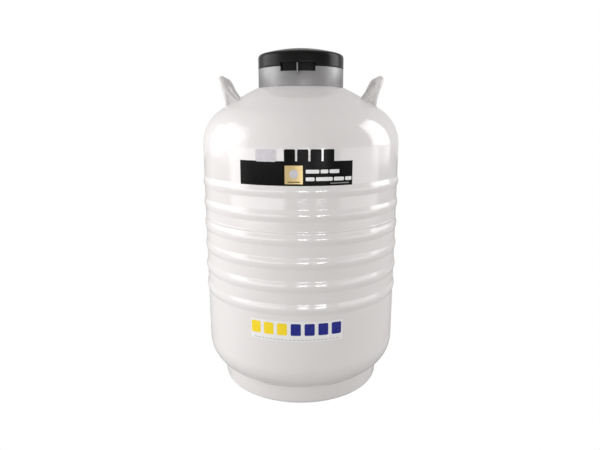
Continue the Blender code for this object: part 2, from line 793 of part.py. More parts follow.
# ---- assembly --------------------------------------------------------------------------
def build():
    outer_shell_upper()
    outer_shell_lower()
    base_ring()
    vacuum_port()
    vacuum_plug()
    vacuum_cap()
    handle("handle_left", -1.0)
    handle("handle_right", 1.0)
    neck_collar()
    neck_tube()
    neck_flange_upper()
    neck_flange_lower()
    index_plate()
    lock_lug()
    inner_vessel_upper()
    inner_vessel_lower()
    insulation_blanket()
    support_ring()
    adsorbent_pan()
    getter_capsule()
    canister_base()
    for number in range(CANISTER_COUNT):
        canister(number)
    lid_cover()
    lid_liner()
    plug_plate()
    neck_plug()
    lid_ear()
    film("label_band", BAND_HALF_ANGLE, BAND_TURN, BAND_Z, BLACK_FILM, 12)
    film("label_strip", STRIP_HALF_ANGLE, STRIP_TURN, STRIP_Z, WHITE_FILM, 10)


build()
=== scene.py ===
"""Looks of the liquid nitrogen dewar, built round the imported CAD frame.

Metres, +Z up, front towards -Y. A profile is a list of (radius, height) points that runs
down its outer side. Azimuths are measured from the front, positive towards +X.
"""
import json
import math
import random

import bmesh
import bpy
import numpy as np
from mathutils import Matrix, Vector


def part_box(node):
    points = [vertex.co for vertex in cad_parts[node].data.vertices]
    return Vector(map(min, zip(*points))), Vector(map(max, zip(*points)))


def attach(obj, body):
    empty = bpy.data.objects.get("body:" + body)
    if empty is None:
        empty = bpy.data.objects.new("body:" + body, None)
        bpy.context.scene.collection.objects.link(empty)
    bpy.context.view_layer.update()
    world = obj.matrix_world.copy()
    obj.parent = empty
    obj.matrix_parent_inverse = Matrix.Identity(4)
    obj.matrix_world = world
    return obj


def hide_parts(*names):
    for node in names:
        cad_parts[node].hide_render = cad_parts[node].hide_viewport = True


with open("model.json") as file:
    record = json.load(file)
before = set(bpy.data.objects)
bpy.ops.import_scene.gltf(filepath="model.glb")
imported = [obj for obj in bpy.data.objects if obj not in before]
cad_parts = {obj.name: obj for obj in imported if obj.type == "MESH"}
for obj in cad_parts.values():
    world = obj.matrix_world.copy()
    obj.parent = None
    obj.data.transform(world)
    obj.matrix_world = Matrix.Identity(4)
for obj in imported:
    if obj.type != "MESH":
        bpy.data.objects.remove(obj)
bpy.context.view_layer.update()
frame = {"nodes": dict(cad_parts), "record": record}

# ---- sizes taken from the frame --------------------------------------------------------
RIB_RISE = 0.0026
RIB_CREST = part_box("outer_shell_lower")[1].x
BARREL = RIB_CREST - RIB_RISE
SEAM_Z = (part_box("outer_shell_upper")[0].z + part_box("outer_shell_lower")[1].z) / 2.0
SHELL_LOW_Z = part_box("outer_shell_lower")[0].z
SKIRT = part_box("base_ring")[1].x
SKIRT_TOP_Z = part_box("base_ring")[1].z
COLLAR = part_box("neck_collar")[1].x
COLLAR_LOW_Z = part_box("neck_collar")[0].z
COLLAR_TOP_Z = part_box("neck_collar")[1].z
LID_LOW_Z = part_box("lid_cover")[0].z
LID_TOP_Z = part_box("lid_cover")[1].z
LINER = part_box("lid_liner")[1].x
LINER_LOW_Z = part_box("lid_liner")[0].z
PLATE_LOW_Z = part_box("index_plate")[0].z
RIM_TOP_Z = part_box("index_plate")[1].z
PLATE_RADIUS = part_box("index_plate")[1].x
BAND_Z = (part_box("label_band")[0].z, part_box("label_band")[1].z)
STRIP_Z = (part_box("label_strip")[0].z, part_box("label_strip")[1].z)

# ---- sizes that the boxes don't give ---------------------------------------------------
WALL = 0.003
TOUCH_GAP = 0.0003
SHOULDER_ARC = 0.092
SHOULDER_Z = 0.556
SHOULDER_ARC_DEG = 57.0
CONE_FOOT = (0.1006, 0.6795)
THROAT = (0.0345, 0.6970)
LOWER_ARC = 0.070
LOWER_BEND_Z = SHELL_LOW_Z + LOWER_ARC
FOOT_INNER = 0.165
SKIRT_ROLL = 0.0075
RIB_HALF = 0.0122
RIB_HEIGHTS = [0.2334 + 0.0486 * index for index in range(6)]
PORT_HOLE = 0.0125
WINDOW_HALF = 0.0368
WINDOW_Z = (0.7110, 0.7285)
WINDOW_TURN = math.radians(-4.05)
LOCK_TURN = math.radians(-3.0)
BAND_TURN = math.radians(-2.85)
BAND_HALF = math.radians(29.45)
STRIP_TURN = math.radians(-2.5)
STRIP_HALF = math.radians(25.3)
LID_DOME = 0.318         # radius of the sphere that the lid's top is part of
LID_CROWN = 0.086        # where the dome turns down into the lid's edge
LID_EDGE_CORNER_Z = 0.7515
LID_SIDE_TOP = 0.744
CANISTERS = 6
PLATE_THICKNESS = 0.003
RIM_INNER = 0.050        # upright rim of the index plate
RIM_OUTER = 0.053
PLATE_HOLE = 0.028
SLOT_HALF = 0.0028       # half width of a rod's slot in the rim

ROUND = 256          # columns round the casing
MEDIUM = 128


# ---- node material kit -----------------------------------------------------------------
class Nodes:
    """A material's node tree with short calls for the nodes used here."""

    def __init__(self, name):
        self.material = bpy.data.materials.new(name)
        self.material.use_nodes = True
        self.tree = self.material.node_tree
        self.shader = self.tree.nodes["Principled BSDF"]
        coordinates = self.tree.nodes.new("ShaderNodeTexCoord")
        self.place = coordinates.outputs["Object"]

    def set(self, **values):
        for key, value in values.items():
            self.shader.inputs[key.replace("_", " ")].default_value = value

    def link(self, output, socket):
        self.tree.links.new(output, socket)

    def stretch(self, scale):
        mapping = self.tree.nodes.new("ShaderNodeMapping")
        mapping.inputs["Scale"].default_value = scale
        self.link(self.place, mapping.inputs["Vector"])
        return mapping.outputs["Vector"]

    def noise(self, scale, detail=2.0, roughness=0.5, place=None):
        made = self.tree.nodes.new("ShaderNodeTexNoise")
        made.inputs["Scale"].default_value = scale
        made.inputs["Detail"].default_value = detail
        made.inputs["Roughness"].default_value = roughness
        self.link(place or self.place, made.inputs["Vector"])
        return made.outputs["Fac"]

    def cells(self, scale, feature="F1", place=None):
        made = self.tree.nodes.new("ShaderNodeTexVoronoi")
        made.feature = feature
        made.inputs["Scale"].default_value = scale
        self.link(place or self.place, made.inputs["Vector"])
        return made.outputs["Distance"]

    def span(self, value, low, high, start=0.0, end=1.0):
        made = self.tree.nodes.new("ShaderNodeMapRange")
        made.inputs["From Min"].default_value = start
        made.inputs["From Max"].default_value = end
        made.inputs["To Min"].default_value = low
        made.inputs["To Max"].default_value = high
        self.link(value, made.inputs["Value"])
        return made.outputs["Result"]

    def mix(self, value, first, second):
        made = self.tree.nodes.new("ShaderNodeMix")
        made.data_type = "RGBA"
        for socket, color in ((6, first), (7, second)):
            if isinstance(color, tuple):
                made.inputs[socket].default_value = (*color, 1.0)
            else:
                self.link(color, made.inputs[socket])
        self.link(value, made.inputs[0])
        return made.outputs[2]

    def color(self, output):
        self.link(output, self.shader.inputs["Base Color"])

    def roughness(self, output):
        self.link(output, self.shader.inputs["Roughness"])

    def bump(self, height, distance, strength=1.0, below=None):
        made = self.tree.nodes.new("ShaderNodeBump")
        made.inputs["Distance"].default_value = distance
        made.inputs["Strength"].default_value = strength
        self.link(height, made.inputs["Height"])
        if below:
            self.link(below, made.inputs["Normal"])
        self.link(made.outputs["Normal"], self.shader.inputs["Normal"])
        return made.outputs["Normal"]


def powder_coat():
    """Glossy warm white powder coat: a slow orange peel and a faint unevenness of tone."""
    kit = Nodes("white_powder_coat")
    tone = kit.noise(9.0, 3.0)
    kit.color(kit.mix(kit.span(tone, 0.0, 1.0, 0.3, 0.7), (0.745, 0.727, 0.722),
                      (0.765, 0.749, 0.745)))
    kit.roughness(kit.span(kit.noise(40.0, 4.0), 0.09, 0.15, 0.3, 0.7))
    kit.set(IOR=1.5)
    wave = kit.bump(kit.noise(110.0, 1.0), 0.00005)
    kit.bump(kit.noise(420.0, 1.0), 0.00001, 1.0, wave)
    return kit.material


def handle_coat():
    """The same coat over tube, with a darker colour than the casing's coat that is painted shade,
    and a little duller where hands have rubbed it.
    """
    kit = Nodes("rubbed_powder_coat_with_painted_shade")
    rubbed = kit.noise(30.0, 3.0)
    # painted shade: both colours sit below the casing's white coat, darkening the whole tube
    kit.color(kit.mix(kit.span(rubbed, 0.0, 1.0, 0.35, 0.7), (0.675, 0.659, 0.654),
                      (0.715, 0.700, 0.696)))
    kit.set(Specular_IOR_Level=0.28)
    kit.roughness(kit.span(rubbed, 0.34, 0.44, 0.3, 0.7))
    return kit.material


def weld_coat():
    """The same coat over a weld bead, where it lies thicker and rougher."""
    kit = Nodes("white_coat_on_weld")
    kit.color(kit.mix(kit.noise(220.0, 2.0), (0.70, 0.69, 0.68), (0.76, 0.75, 0.74)))
    kit.roughness(kit.span(kit.noise(300.0, 2.0), 0.18, 0.32))
    kit.bump(kit.noise(360.0, 2.0), 0.0003)
    return kit.material


def silver_coat():
    """Satin silver paint with fine flakes."""
    kit = Nodes("satin_silver_paint")
    flakes = kit.cells(2600.0)
    kit.color(kit.mix(kit.span(flakes, 0.0, 1.0, 0.1, 0.7), (0.182, 0.179, 0.182),
                      (0.218, 0.215, 0.218)))
    kit.set(Metallic=0.45)
    kit.roughness(kit.span(kit.noise(60.0, 3.0), 0.42, 0.48, 0.3, 0.7))
    kit.bump(kit.noise(900.0, 2.0), 0.00002)
    return kit.material


def lid_plastic():
    """Black moulded plastic with a fine spark-eroded grain and a few softer rubbed areas."""
    kit = Nodes("black_moulded_plastic")
    rubbed = kit.noise(14.0, 4.0)
    kit.color(kit.mix(kit.span(rubbed, 0.0, 1.0, 0.35, 0.75), (0.004, 0.004, 0.004),
                      (0.008, 0.008, 0.008)))
    kit.set(Specular_IOR_Level=0.10)
    kit.roughness(kit.span(rubbed, 0.22, 0.32, 0.35, 0.7))
    kit.bump(kit.noise(1500.0, 2.0), 0.00003)
    return kit.material


def turned_aluminium():
    """Bare aluminium with fine lathe lines."""
    kit = Nodes("turned_aluminium")
    lines = kit.noise(1.0, 3.0, place=kit.stretch((60.0, 60.0, 2600.0)))
    kit.color(kit.mix(lines, (0.62, 0.63, 0.64), (0.76, 0.77, 0.78)))
    kit.set(Metallic=1.0)
    kit.roughness(kit.span(lines, 0.28, 0.46))
    kit.bump(lines, 0.00002)
    return kit.material


def brushed_steel():
    kit = Nodes("brushed_stainless")
    lines = kit.noise(1.0, 4.0, place=kit.stretch((900.0, 900.0, 40.0)))
    kit.color(kit.mix(lines, (0.52, 0.52, 0.51), (0.66, 0.66, 0.65)))
    kit.set(Metallic=1.0)
    kit.roughness(kit.span(lines, 0.20, 0.36))
    kit.bump(lines, 0.00001)
    return kit.material


def glass_laminate():
    """Glass-fibre and resin tube: woven threads under a slightly green resin."""
    kit = Nodes("glass_fibre_laminate")
    weave = kit.cells(520.0, place=kit.stretch((1.0, 1.0, 0.6)))
    kit.color(kit.mix(weave, (0.36, 0.42, 0.22), (0.56, 0.60, 0.36)))
    kit.roughness(kit.span(weave, 0.30, 0.50))
    kit.bump(weave, 0.00008)
    return kit.material


def plug_foam():
    """Stiff closed-cell foam, cream coloured, with small open cells on its turned skin."""
    kit = Nodes("rigid_foam")
    cell = kit.cells(650.0)
    kit.color(kit.mix(kit.noise(25.0, 4.0), (0.72, 0.68, 0.52), (0.82, 0.79, 0.66)))
    kit.roughness(kit.span(cell, 0.75, 0.95))
    kit.bump(cell, 0.00035)
    return kit.material


def foil():
    kit = Nodes("crinkled_foil")
    crease = kit.cells(38.0, "DISTANCE_TO_EDGE")
    # painted shade: the foil's colour darkens along the creases, where the bump makes grooves
    kit.color(kit.mix(crease, (0.60, 0.61, 0.62), (0.80, 0.81, 0.82)))
    kit.set(Metallic=1.0)
    kit.roughness(kit.span(crease, 0.18, 0.40))
    kit.bump(crease, 0.002)
    return kit.material


def granules():
    kit = Nodes("charcoal_granules")
    grain = kit.cells(480.0)
    kit.color(kit.mix(grain, (0.02, 0.02, 0.02), (0.07, 0.07, 0.07)))
    kit.set(Roughness=0.95)
    kit.bump(grain, 0.0012)
    return kit.material


def drawn_copper():
    kit = Nodes("drawn_copper")
    lines = kit.noise(1.0, 3.0, place=kit.stretch((700.0, 700.0, 30.0)))
    kit.color(kit.mix(lines, (0.50, 0.24, 0.15), (0.70, 0.38, 0.26)))
    kit.set(Metallic=1.0)
    kit.roughness(kit.span(lines, 0.25, 0.42))
    return kit.material


def moulded(name, dark, light, grain=700.0):
    """A coloured moulded plastic with a fine grain."""
    kit = Nodes(name)
    kit.color(kit.mix(kit.noise(30.0, 3.0), dark, light))
    kit.roughness(kit.span(kit.noise(grain, 2.0), 0.32, 0.48))
    kit.bump(kit.noise(grain, 2.0), 0.00003)
    return kit.material


def printed(name, dark, light, low=0.22, high=0.32, shine=0.3):
    """Ink on thin self-adhesive film, which follows the coat under it."""
    kit = Nodes(name)
    kit.set(Specular_IOR_Level=shine)
    kit.color(kit.mix(kit.noise(120.0, 3.0), dark, light))
    kit.roughness(kit.span(kit.noise(60.0, 3.0), low, high, 0.3, 0.7))
    kit.bump(kit.noise(110.0, 1.0), 0.00005)
    return kit.material


def gold_print():
    """Gold ink whose tone varies a little at random."""
    kit = Nodes("gold_ink")
    kit.color(kit.mix(kit.noise(45.0, 2.0), (0.44, 0.31, 0.12), (0.60, 0.47, 0.22)))
    kit.set(Metallic=0.25)
    kit.roughness(kit.span(kit.noise(80.0, 3.0), 0.26, 0.36))
    kit.bump(kit.noise(110.0, 1.0), 0.00005)
    return kit.material


WHITE = powder_coat()
WELD = weld_coat()
HANDLE_COAT = handle_coat()
SILVER = silver_coat()
BLACK = lid_plastic()
ALUMINIUM = turned_aluminium()
STEEL = brushed_steel()
LAMINATE = glass_laminate()
FOAM = plug_foam()
FOIL = foil()
CHARCOAL = granules()
COPPER = drawn_copper()
RED = moulded("red_cap_plastic", (0.45, 0.03, 0.025), (0.58, 0.05, 0.04))
BLUE = moulded("blue_knob_plastic", (0.03, 0.09, 0.36), (0.05, 0.13, 0.46))
BLACK_FILM = printed("black_label_film", (0.003, 0.003, 0.003), (0.005, 0.0045, 0.0045),
                     shine=0.05)
WHITE_FILM = printed("white_label_film", (0.80, 0.80, 0.80), (0.84, 0.84, 0.84))
WHITE_INK = printed("white_ink", (0.78, 0.78, 0.78), (0.86, 0.86, 0.86))
GREY_INK = printed("grey_ink", (0.20, 0.20, 0.21), (0.30, 0.30, 0.31))
SILVER_INK = printed("silver_ink", (0.52, 0.50, 0.55), (0.66, 0.64, 0.68))
YELLOW_INK = printed("yellow_ink", (0.90, 0.66, 0.02), (0.95, 0.72, 0.03))
BLUE_INK = printed("blue_ink", (0.010, 0.016, 0.20), (0.018, 0.025, 0.26))
GOLD = gold_print()

SLOT_MATERIAL = {
    "white_coat": WHITE, "satin_silver": SILVER, "black_plastic": BLACK,
    "bare_aluminium": ALUMINIUM, "stainless": STEEL, "neck_laminate": LAMINATE,
    "plug_foam": FOAM, "foil_blanket": FOIL, "adsorbent": CHARCOAL, "copper": COPPER,
    "red_plastic": RED, "blue_plastic": BLUE, "black_film": BLACK_FILM,
    "white_film": WHITE_FILM,
}


def dress_cad_nodes():
    """Every CAD node takes the material of its slot, whether it is shown or replaced."""
    for part in frame["record"]["subparts"]:
        node = frame["nodes"].get(part["node"])
        if node:
            node.data.materials.clear()
            node.data.materials.append(SLOT_MATERIAL[part["material_slot"]])


# ---- mesh kit --------------------------------------------------------------------------
def new_piece(name, form, material, body, replaces=(), sharp_deg=38.0):
    """Turn a bmesh into a piece that rides on a body and stands for the CAD nodes named."""
    bmesh.ops.recalc_face_normals(form, faces=form.faces)
    mesh = bpy.data.meshes.new(name)
    form.to_mesh(mesh)
    form.free()
    mesh.shade_smooth()
    mesh.set_sharp_from_angle(angle=math.radians(sharp_deg))
    mesh.materials.append(material)
    piece = bpy.data.objects.new(name, mesh)
    bpy.context.scene.collection.objects.link(piece)
    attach(piece, body)
    if replaces:
        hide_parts(*replaces)
    return piece


def lathe(section, columns, closed=True, start=0.0, sweep=2.0 * math.pi):
    """Revolve section(angle) -> [(radius, height)]; a full turn joins up with itself."""
    full = sweep > 2.0 * math.pi - 0.0001
    angles = columns if isinstance(columns, list) else [
        start + sweep * index / columns for index in range(columns + (0 if full else 1))]
    form = bmesh.new()
    rows = []
    for angle in angles:
        points = section(angle) if callable(section) else section
        rows.append([form.verts.new((radius * math.cos(angle), radius * math.sin(angle), height))
                     for radius, height in points])
    count = len(rows[0])
    steps = count if closed else count - 1
    pairs = len(rows) if full else len(rows) - 1
    for index in range(pairs):
        here, there = rows[index], rows[(index + 1) % len(rows)]
        for step in range(steps):
            after = (step + 1) % count
            form.faces.new((here[step], here[after], there[after], there[step]))
    if closed and not full:
        form.faces.new(rows[0])
        form.faces.new(rows[-1])
    bmesh.ops.remove_doubles(form, verts=form.verts, dist=0.000002)
    bmesh.ops.dissolve_degenerate(form, dist=0.000001, edges=form.edges)
    return form


def arc(centre, radius, start_deg, end_deg, steps):
    """Points on a circle in the (radius, height) plane, 90 degrees being straight up."""
    points = []
    for i in range(steps + 1):
        turn = math.radians(start_deg + (end_deg - start_deg) * i / steps)
        points.append((centre[0] + radius * math.cos(turn), centre[1] + radius * math.sin(turn)))
    return points


def rounded_section(corners, radius, steps=3):
    """A closed outline with every corner rounded; a corner may carry its own radius."""
    outline = []
    count = len(corners)
    for index in range(count):
        here = Vector(corners[index][:2])
        own = corners[index][2] if len(corners[index]) > 2 else radius
        if own <= 0.0:
            outline.append(tuple(here))
            continue
        back = Vector(corners[index - 1][:2]) - here
        ahead = Vector(corners[(index + 1) % count][:2]) - here
        reach = min(own, back.length * 0.49, ahead.length * 0.49)
        first = here + back.normalized() * reach
        last = here + ahead.normalized() * reach
        for step in range(steps + 1):
            t = step / steps
            outline.append(tuple(first * (1 - t) ** 2 + here * 2 * t * (1 - t) + last * t ** 2))
    return outline


def offset_inward(profile, distance):
    """The profile moved towards the vessel's inside, for the far face of a wall."""
    moved = []
    last = len(profile) - 1
    for index in range(len(profile)):
        before = Vector(profile[max(index - 1, 0)])
        after = Vector(profile[min(index + 1, last)])
        run = (after - before).normalized()
        normal = Vector((-run.y, run.x))
        here = Vector(profile[index])
        moved.append(tuple(here - normal * distance))
    return moved


def smoothstep(value):
    clipped = min(max(value, 0.0), 1.0)
    return clipped * clipped * (3.0 - 2.0 * clipped)


# ---- casing ----------------------------------------------------------------------------
def barrel_radius(height):
    """The barrel with its six rolled ribs, each a low swell between two creases."""
    radius = BARREL
    for middle in RIB_HEIGHTS:
        away = (height - middle) / RIB_HALF
        if abs(away) < 1.0:
            radius += RIB_RISE * math.cos(away * math.pi / 2.0) ** 1.15
    return radius


def barrel_profile(top, bottom):
    steps = int(round((top - bottom) / 0.0015))
    return [(barrel_radius(top + (bottom - top) * i / steps), top + (bottom - top) * i / steps)
            for i in range(steps + 1)]


def shoulder_profile():
    """Throat, the slightly domed cone and the rounding down to the barrel."""
    centre = (BARREL - SHOULDER_ARC, SHOULDER_Z)
    turn = arc(centre, SHOULDER_ARC, SHOULDER_ARC_DEG, 0.0, 28)
    start, end = Vector(CONE_FOOT), Vector(turn[0])
    reach = (end - start).length / 3.0
    leave = start + reach * Vector((math.cos(math.radians(-25.0)), math.sin(math.radians(-25.0))))
    slope = math.radians(SHOULDER_ARC_DEG - 90.0)
    arrive = end - reach * Vector((math.cos(slope), math.sin(slope)))
    points = [THROAT, (0.0700, 0.6885)]
    for step in range(24):
        t = step / 24
        point = (start * (1 - t) ** 3 + leave * 3 * t * (1 - t) ** 2
                 + arrive * 3 * t ** 2 * (1 - t) + end * t ** 3)
        points.append(tuple(point))
    return points + turn


SHOULDER = shoulder_profile()


def shoulder_height(radius):
    """Height of the shoulder's surface at a distance from the axis."""
    radii = [point[0] for point in SHOULDER]
    return float(np.interp(radius, radii, [point[1] for point in SHOULDER]))


def casing_upper():
    outer = SHOULDER[:-1] + barrel_profile(SHOULDER_Z, SEAM_Z + 0.0001)
    section = outer + offset_inward(outer, WALL)[::-1]
    return new_piece("casing_upper", lathe(section, ROUND), WHITE, "vessel",
                     ["outer_shell_upper"])


def casing_lower():
    centre = (BARREL - LOWER_ARC, LOWER_BEND_Z)
    outer = barrel_profile(SEAM_Z - 0.0001, LOWER_BEND_Z)[:-1]
    outer += arc(centre, LOWER_ARC, 0.0, -90.0, 30)
    outer += [(0.10, SHELL_LOW_Z), (0.05, SHELL_LOW_Z), (PORT_HOLE, SHELL_LOW_Z)]
    section = outer + offset_inward(outer, WALL)[::-1]
    return new_piece("casing_lower", lathe(section, ROUND), WHITE, "vessel",
                     ["outer_shell_lower"])


def wobble(angle, seed, size):
    """A smooth closed unevenness round the vessel."""
    rng = random.Random(seed)
    total = 0.0
    for turns in (3, 7, 13, 23, 41):
        total += rng.uniform(0.3, 1.0) / math.sqrt(turns) * math.sin(
            turns * angle + rng.uniform(0.0, 6.28))
    return total * size


def girth_weld():
    """The low, slightly wandering bead that joins the two halves of the casing."""
    sunk = 0.0003
    root = BARREL - 0.0012

    def section(angle):
        middle = SEAM_Z + wobble(angle, 11, 0.0003)
        half = 0.0030 + wobble(angle, 12, 0.00030)
        rise = 0.00035 + wobble(angle, 13, 0.00008)
        points = []
        for step in range(9):
            share = -1.0 + 2.0 * step / 8
            points.append((BARREL - sunk + (rise + sunk) * (1.0 - share * share),
                           middle - half * share))
        return points + [(root, middle - half * 0.6), (root, middle + half * 0.6)]
    return new_piece("girth_weld", lathe(section, 384), WHITE, "vessel")


def base_ring():
    inner = SKIRT - WALL
    outline = [
        (SKIRT, SKIRT_TOP_Z, 0.0006),
        (SKIRT, 0.0, SKIRT_ROLL),
        (FOOT_INNER, 0.0, 0.0006),
        (FOOT_INNER, WALL, 0.0006),
        (inner, WALL, 0.005),
        (inner, SKIRT_TOP_Z - 0.0016, 0.0004),
    ]
    section = rounded_section(outline, 0.0006, 8)
    return new_piece("base_skirt", lathe(section, ROUND), WHITE, "vessel",
                     ["base_ring"])


def tube(points, radii, sides=10, closed=False):
    """A tube of changing radius along points, with round ends when it is open."""
    form = bmesh.new()
    rings = []
    count = len(points)
    normal = None
    for index in range(count):
        if closed:
            run = points[(index + 1) % count] - points[index - 1]
        else:
            run = points[min(index + 1, count - 1)] - points[max(index - 1, 0)]
        run.normalize()
        if normal is None:
            normal = run.orthogonal().normalized()
        normal = (normal - run * normal.dot(run)).normalized()
        side = run.cross(normal)
        rings.append([form.verts.new(points[index] + radii[index] * (
            normal * math.cos(2 * math.pi * k / sides) + side * math.sin(2 * math.pi * k / sides)))
            for k in range(sides)])
    last = count if closed else count - 1
    for index in range(last):
        here, there = rings[index], rings[(index + 1) % count]
        if closed and index == count - 1:
            shift = min(range(sides), key=lambda s: (here[0].co - there[s].co).length)
        else:
            shift = 0
        for k in range(sides):
            form.faces.new((here[k], here[(k + 1) % sides],
                            there[(k + 1 + shift) % sides], there[(k + shift) % sides]))
    if not closed:
        form.faces.new(rings[0])
        form.faces.new(rings[-1])
    return form


def skirt_tack():
    """The short weld at the front that holds the base ring to the casing."""
    rng = random.Random(5)
    points, radii = [], []
    start_deg, length_deg, steps = -10.7, 11.0, 40
    for step in range(steps + 1):
        share = step / steps
        azimuth = math.radians(start_deg + length_deg * share)
        out = Vector((math.sin(azimuth), -math.cos(azimuth), 0.0))
        points.append(out * (SKIRT - 0.0002) + Vector((0, 0, SKIRT_TOP_Z + 0.0001)))
        taper = min(1.0, share * 9.0, (1.0 - share) * 9.0)
        radii.append((0.0011 + rng.uniform(0.0, 0.0004)) * max(taper, 0.15) ** 0.5)
    return new_piece("base_tack_weld", tube(points, radii), WELD, "vessel")


# ---- handles ---------------------------------------------------------------------------
HANDLE_TILT = math.radians(24.0)
HANDLE_TOP = Vector((0.1724, 0.0, 0.6968))
HANDLE_HALF_SPAN = 0.064
HANDLE_CORNER = 0.020
HANDLE_HEIGHT = 0.0550       # middle of the grip to the feet, along the lean
HANDLE_TUBE = 0.0150
FOOT_WIDTH = 0.0320
FOOT_THICKNESS = 0.0080
FOOT_FLARE = 1.6             # how late the tube widens towards its feet
DENT_DEPTH = 0.0026
DENT_SHARE = 0.80            # how much of a foot's width the dent takes
HANDLE_SIDES = 48
LEG_ROWS = 26
BEND_STEPS = 18
FOOT_LIFT = 0.0002           # clearance of a foot over the shoulder
WELD_LIFT = 0.0004
DOWN_LEG = Vector((-math.sin(HANDLE_TILT), 0.0, -math.cos(HANDLE_TILT)))
LEG_OUT = Vector((math.cos(HANDLE_TILT), 0.0, -math.sin(HANDLE_TILT)))


def handle_path():
    """(Y, depth below the grip, how far flattened) along the tube from foot to foot."""
    half_side = []
    for row in range(LEG_ROWS):
        depth = HANDLE_HEIGHT + (HANDLE_CORNER - HANDLE_HEIGHT) * row / LEG_ROWS
        half_side.append((HANDLE_HALF_SPAN, depth))
    for step in range(BEND_STEPS + 1):
        angle = math.radians(90.0 * step / BEND_STEPS)
        half_side.append((HANDLE_HALF_SPAN - HANDLE_CORNER + HANDLE_CORNER * math.cos(angle),
                          HANDLE_CORNER - HANDLE_CORNER * math.sin(angle)))
    half_side += [(0.030, 0.0), (0.015, 0.0)]
    path = half_side + [(0.0, 0.0)] + [(-y, depth) for y, depth in reversed(half_side)]
    return [(across, depth, max(0.0, (depth - HANDLE_CORNER) / (HANDLE_HEIGHT - HANDLE_CORNER)))
            for across, depth in path]


def handle_section(flat):
    """The round tube, flattened and flared with a dent in each face as it nears a foot."""
    share = flat ** FOOT_FLARE
    half = (HANDLE_TUBE + (FOOT_WIDTH - HANDLE_TUBE) * share) / 2.0
    thick = (HANDLE_TUBE + (FOOT_THICKNESS - HANDLE_TUBE) * share) / 2.0
    dent_half = half * DENT_SHARE * flat
    outline = []
    for step in range(HANDLE_SIDES):
        turn = 2.0 * math.pi * step / HANDLE_SIDES
        u = half * math.cos(turn)
        v = thick * math.copysign(abs(math.sin(turn)) ** (1.0 - 0.35 * share), math.sin(turn))
        if dent_half > 0.0 and abs(u) < dent_half:
            side = smoothstep((1.0 - abs(u) / dent_half) * 1.8)
            v -= math.copysign(DENT_DEPTH * smoothstep(flat * 1.4) * side, v)
        outline.append((u, v))
    return outline


def shoulder_reach(start, clearance):
    """How far down a leg's direction a point comes to stand clear of the shoulder."""
    near, far = HANDLE_HEIGHT * 0.5, HANDLE_HEIGHT * 1.5
    for _ in range(30):
        middle = (near + far) / 2.0
        place = start + DOWN_LEG * middle
        if place.z > shoulder_height(place.xy.length) + clearance:
            near = middle
        else:
            far = middle
    return near


def handle(name, node, side):
    form = bmesh.new()
    rings = []
    path = handle_path()
    foot = handle_section(1.0)
    last = len(path) - 1
    for index, (across, depth, flat) in enumerate(path):
        before, after = path[max(index - 1, 0)], path[min(index + 1, last)]
        run = Vector((after[0] - before[0], after[1] - before[1])).normalized()
        face = Vector((0.0, 1.0, 0.0)) * run.y - DOWN_LEG * run.x
        middle = HANDLE_TOP + Vector((0.0, across, 0.0)) + DOWN_LEG * depth
        ring = []
        for (u, v), (foot_u, foot_v) in zip(handle_section(flat), foot):
            corner = middle + LEG_OUT * u + face * v
            if flat > 0.0:
                start = HANDLE_TOP + Vector((0.0, across + face.y * foot_v, 0.0))
                start += LEG_OUT * foot_u
                corner += DOWN_LEG * (flat * (shoulder_reach(start, FOOT_LIFT) - HANDLE_HEIGHT))
            ring.append(form.verts.new((corner.x * side, corner.y, corner.z)))
        rings.append(ring)
    count = len(rings[0])
    for lower, upper in zip(rings, rings[1:]):
        for index in range(count):
            form.faces.new((lower[index], lower[(index + 1) % count],
                            upper[(index + 1) % count], upper[index]))
    form.faces.new(rings[0])
    form.faces.new(rings[-1])
    return new_piece(name, form, HANDLE_COAT, "vessel", [node], 45.0)


def foot_weld(name, side, end):
    """A fillet bead all round one foot of a handle, heaviest at its two ends."""
    rng = random.Random(hash_seed(name))
    top = HANDLE_TOP + Vector((0.0, HANDLE_HALF_SPAN * end, 0.0))
    points, radii = [], []
    steps = 56
    for step in range(steps):
        turn = 2.0 * math.pi * step / steps
        u = FOOT_WIDTH / 2.0 * math.cos(turn)
        v = FOOT_THICKNESS / 2.0 * math.copysign(abs(math.sin(turn)) ** 0.65, math.sin(turn))
        start = top + LEG_OUT * u + Vector((0.0, v, 0.0))
        place = start + DOWN_LEG * shoulder_reach(start, WELD_LIFT)
        points.append(Vector((place.x * side, place.y, place.z)))
        bead = 0.0018 + 0.0006 * abs(math.cos(turn)) ** 3
        radii.append(bead + rng.uniform(-0.0002, 0.0002))
    return new_piece(name, tube(points, radii, 10, True), WELD, "vessel")


def hash_seed(text):
    return sum(ord(letter) * (index + 1) for index, letter in enumerate(text))


# ---- collar, lid and lock --------------------------------------------------------------
def window_share(angle):
    """1 inside the front window, 0 outside it, rounded over half a millimetre."""
    across = math.cos(angle - WINDOW_TURN) * COLLAR
    if math.sin(angle - WINDOW_TURN) > 0.0:
        return 0.0
    return smoothstep((WINDOW_HALF - abs(across)) / 0.0004 + 0.5)


def window_columns():
    """Columns round the collar, closer together at the window's two sides."""
    angles = [2.0 * math.pi * index / ROUND for index in range(ROUND)]
    edge = math.acos(WINDOW_HALF / COLLAR)
    for side in (-1.0, 1.0):
        middle = WINDOW_TURN - math.pi / 2.0 + side * (math.pi / 2.0 - edge)
        for step in range(-4, 5):
            angles.append((middle + step * 0.0007) % (2.0 * math.pi))
    return sorted(set(angles))


def collar():
    inner = COLLAR - WALL

    def section(angle):
        share = window_share(angle)
        top = COLLAR_TOP_Z + (WINDOW_Z[0] - COLLAR_TOP_Z) * share
        corners = [(COLLAR, top), (COLLAR, COLLAR_LOW_Z), (inner, COLLAR_LOW_Z + 0.0009),
                   (inner, top)]
        return rounded_section(corners, 0.0005, 3)
    return new_piece("collar_ring", lathe(section, window_columns()), SILVER, "vessel",
                     ["neck_collar"])


def dome_height(radius):
    return LID_TOP_Z - (LID_DOME - math.sqrt(LID_DOME ** 2 - radius ** 2))


